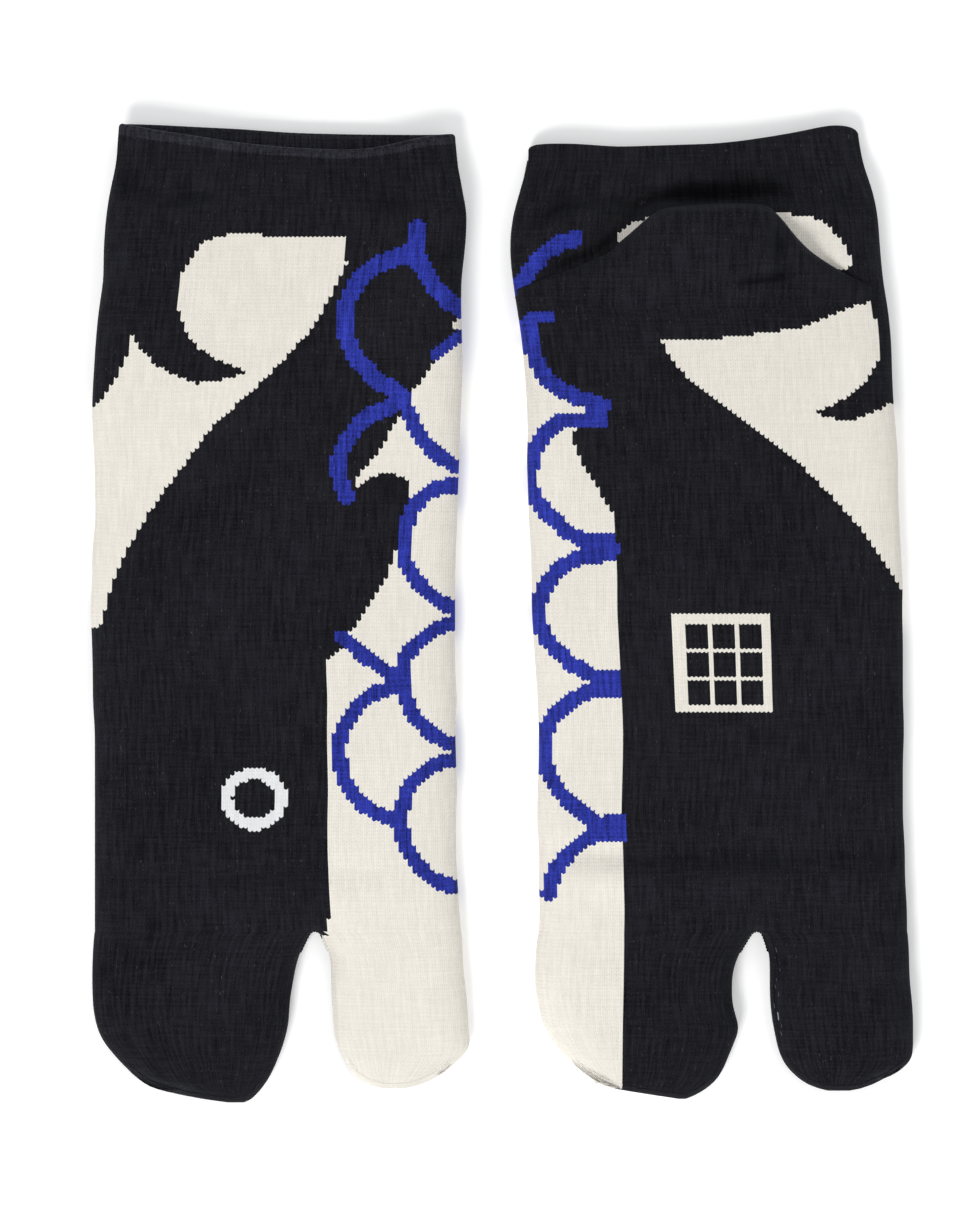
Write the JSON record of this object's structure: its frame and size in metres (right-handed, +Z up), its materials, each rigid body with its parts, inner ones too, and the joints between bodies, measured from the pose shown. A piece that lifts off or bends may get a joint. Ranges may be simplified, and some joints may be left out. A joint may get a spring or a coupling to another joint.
{
  "type": "split-toe sock pair",
  "caption": "Pair of knitted split-toe ankle socks with a carp-streamer pattern, laid flat, with cuffs, heel pouches, feet and toe pockets that fold.",
  "frame": {"origin": "on the surface that the pair lies on, under the middle of the pair's box", "axes": "+Y towards the cuffs along the socks, +Z up from the surface, +X from the right-foot sock to the left-foot sock"},
  "size_m": [0.2019, 0.241, 0.016],
  "materials": {
    "black_knit": "fine plain knit, matt",
    "rib_knit": "ribbed knit, matt",
    "cream_knit": "fine plain knit, matt",
    "blue_knit": "fine plain knit, matt",
    "seam_thread": "linked seam",
    "elastic": "covered elastic"
  },
  "bodies": {
    "right_leg": {"right_leg": "black_knit"},
    "right_cuff": {"right_cuff": "rib_knit", "right_cuff_elastic": "elastic"},
    "right_heel": {"right_heel_pouch": "black_knit"},
    "right_foot": {"right_foot": "black_knit", "right_toe_gusset": "seam_thread"},
    "right_big_toe": {"right_big_toe": "cream_knit", "right_big_toe_seam": "seam_thread"},
    "right_four_toes": {"right_four_toes": "black_knit", "right_four_toes_seam": "seam_thread"},
    "left_leg": {"left_leg": "black_knit"},
    "left_cuff": {"left_cuff": "rib_knit", "left_cuff_elastic": "elastic"},
    "left_heel": {"left_heel_pouch": "black_knit"},
    "left_foot": {"left_foot": "black_knit", "left_toe_gusset": "seam_thread"},
    "left_big_toe": {"left_big_toe": "black_knit", "left_big_toe_seam": "seam_thread"},
    "left_four_toes": {"left_four_toes": "cream_knit", "left_four_toes_seam": "seam_thread"}
  },
  "joints": [
    {"name": "right_cuff_fold", "type": "hinge", "parent": "right_leg", "child": "right_cuff", "pos_m": [-0.054, 0.10285, 0.01135], "axis": [1, 0, 0], "range_deg": [0, 90]},
    {"name": "right_ankle_fold", "type": "hinge", "parent": "right_leg", "child": "right_foot", "pos_m": [-0.054, 0.07115, 0.01135], "axis": [-1, 0, 0], "range_deg": [0, 90]},
    {"name": "right_big_toe_bend", "type": "hinge", "parent": "right_foot", "child": "right_big_toe", "pos_m": [-0.027, -0.07815, 0.00865], "axis": [-1, 0, 0], "range_deg": [0, 60]},
    {"name": "right_four_toes_bend", "type": "hinge", "parent": "right_foot", "child": "right_four_toes", "pos_m": [-0.074, -0.07815, 0.00865], "axis": [-1, 0, 0], "range_deg": [0, 60]},
    {"name": "left_cuff_fold", "type": "hinge", "parent": "left_leg", "child": "left_cuff", "pos_m": [0.048, 0.10285, 0.00865], "axis": [1, 0, 0], "range_deg": [0, 90]},
    {"name": "left_ankle_fold", "type": "hinge", "parent": "left_leg", "child": "left_foot", "pos_m": [0.048, 0.07115, 0.00865], "axis": [-1, 0, 0], "range_deg": [0, 90]},
    {"name": "left_big_toe_bend", "type": "hinge", "parent": "left_foot", "child": "left_big_toe", "pos_m": [0.083, -0.07815, 0.00865], "axis": [-1, 0, 0], "range_deg": [0, 60]},
    {"name": "left_four_toes_bend", "type": "hinge", "parent": "left_foot", "child": "left_four_toes", "pos_m": [0.035, -0.07815, 0.00865], "axis": [-1, 0, 0], "range_deg": [0, 60]},
    {"name": "right_heel_unfold", "type": "hinge", "parent": "right_leg", "child": "right_heel", "pos_m": [-0.054, 0.0799, 0.00255], "axis": [-1, 0, 0], "range_deg": [0, 80]},
    {"name": "left_heel_unfold", "type": "hinge", "parent": "left_leg", "child": "left_heel", "pos_m": [0.049, 0.0799, 0.0088], "axis": [1, 0, 0], "range_deg": [0, 80]},
    {"name": "left_sock_lift", "type": "slide", "parent": "right_leg", "child": "left_leg", "axis": [0, 0, 1], "range_m": [0, 0.06]}
  ]
}
